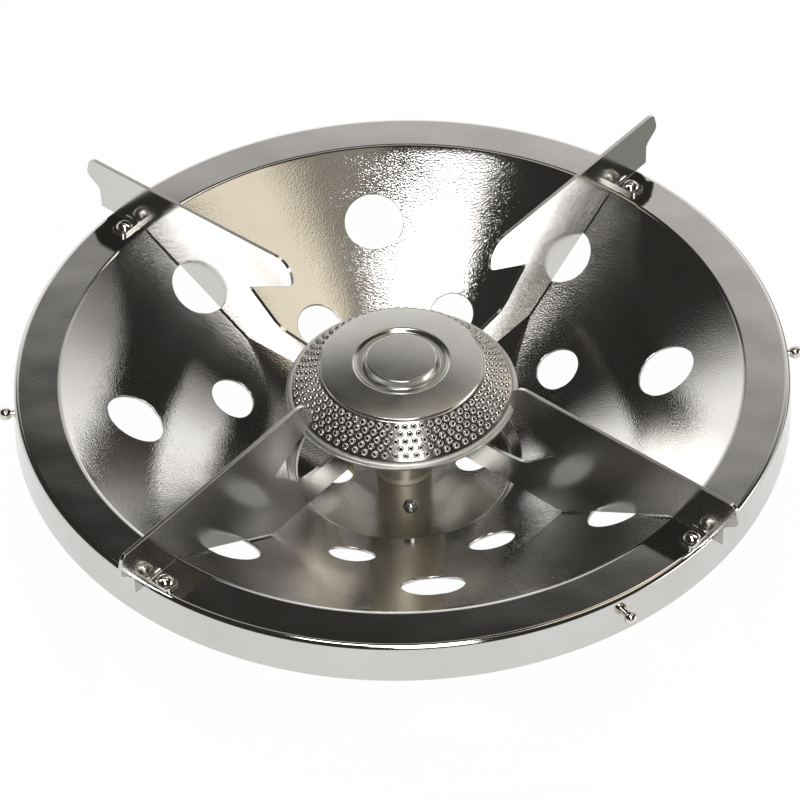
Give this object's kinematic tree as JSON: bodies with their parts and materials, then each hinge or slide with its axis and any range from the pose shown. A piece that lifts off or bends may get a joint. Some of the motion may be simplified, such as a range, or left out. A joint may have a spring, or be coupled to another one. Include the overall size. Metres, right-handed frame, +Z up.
{
  "type": "gas burner stove",
  "caption": "Plated gas stove head: a round dished bowl with upright blade pot supports, a perforated burner in the middle and a tap with a cylinder spigot below.",
  "frame": {"origin": "on the stove's axis, where the lower face of the cylinder seal meets the gas cylinder's valve", "axes": "+Z up along the burner's axis, +Y from the axis to the tap knob, +X to the right seen from the side away from the knob"},
  "size_m": [0.2087, 0.2016, 0.0875],
  "materials": {
    "plated_bowl": "bright nickel-chrome plate on pressed steel",
    "plated_blade": "bright plate on stamped steel",
    "plated_rivet": "bright plate",
    "satin_steel": "satin drawn steel",
    "punched_steel": "plated punched steel",
    "tube_brass": "dull turned brass",
    "tap_brass": "machined brass",
    "filter_bronze": "sintered bronze",
    "black_rubber": "moulded",
    "black_plastic": "moulded heat-resistant plastic"
  },
  "bodies": {
    "stove": {"bowl": "plated_bowl", "pot_support_1": "plated_blade", "pot_support_2": "plated_blade", "pot_support_3": "plated_blade", "pot_support_4": "plated_blade", "support_rivets": "plated_rivet", "rim_studs": "plated_rivet", "floor_rivets": "plated_rivet", "burner_cap": "satin_steel", "flame_ring": "punched_steel", "burner_cup": "punched_steel", "mixing_tube": "tube_brass", "jet": "tube_brass", "valve_body": "tap_brass", "cylinder_connector": "tap_brass", "gland_nut": "tap_brass", "inlet_filter": "filter_bronze", "cylinder_seal": "black_rubber"},
    "seat_pad": {"seat_pad": "black_rubber"},
    "tap_spindle": {"spindle": "tap_brass", "spindle_seal": "black_rubber", "knob": "black_plastic", "knob_screw": "plated_rivet"}
  },
  "joints": [
    {"name": "tap_lift", "type": "slide", "parent": "stove", "child": "seat_pad", "axis": [0, 1, 0], "range_m": [0, 0.00095]},
    {"name": "knob_turn", "type": "hinge", "parent": "seat_pad", "child": "tap_spindle", "pos_m": [0, 0.03, 0.0143], "axis": [0, 1, 0], "range_deg": [0, 340]}
  ],
  "couplings": [
    {"joint": "tap_lift", "follows": "knob_turn", "m_per_rad": 0.00015915}
  ]
}
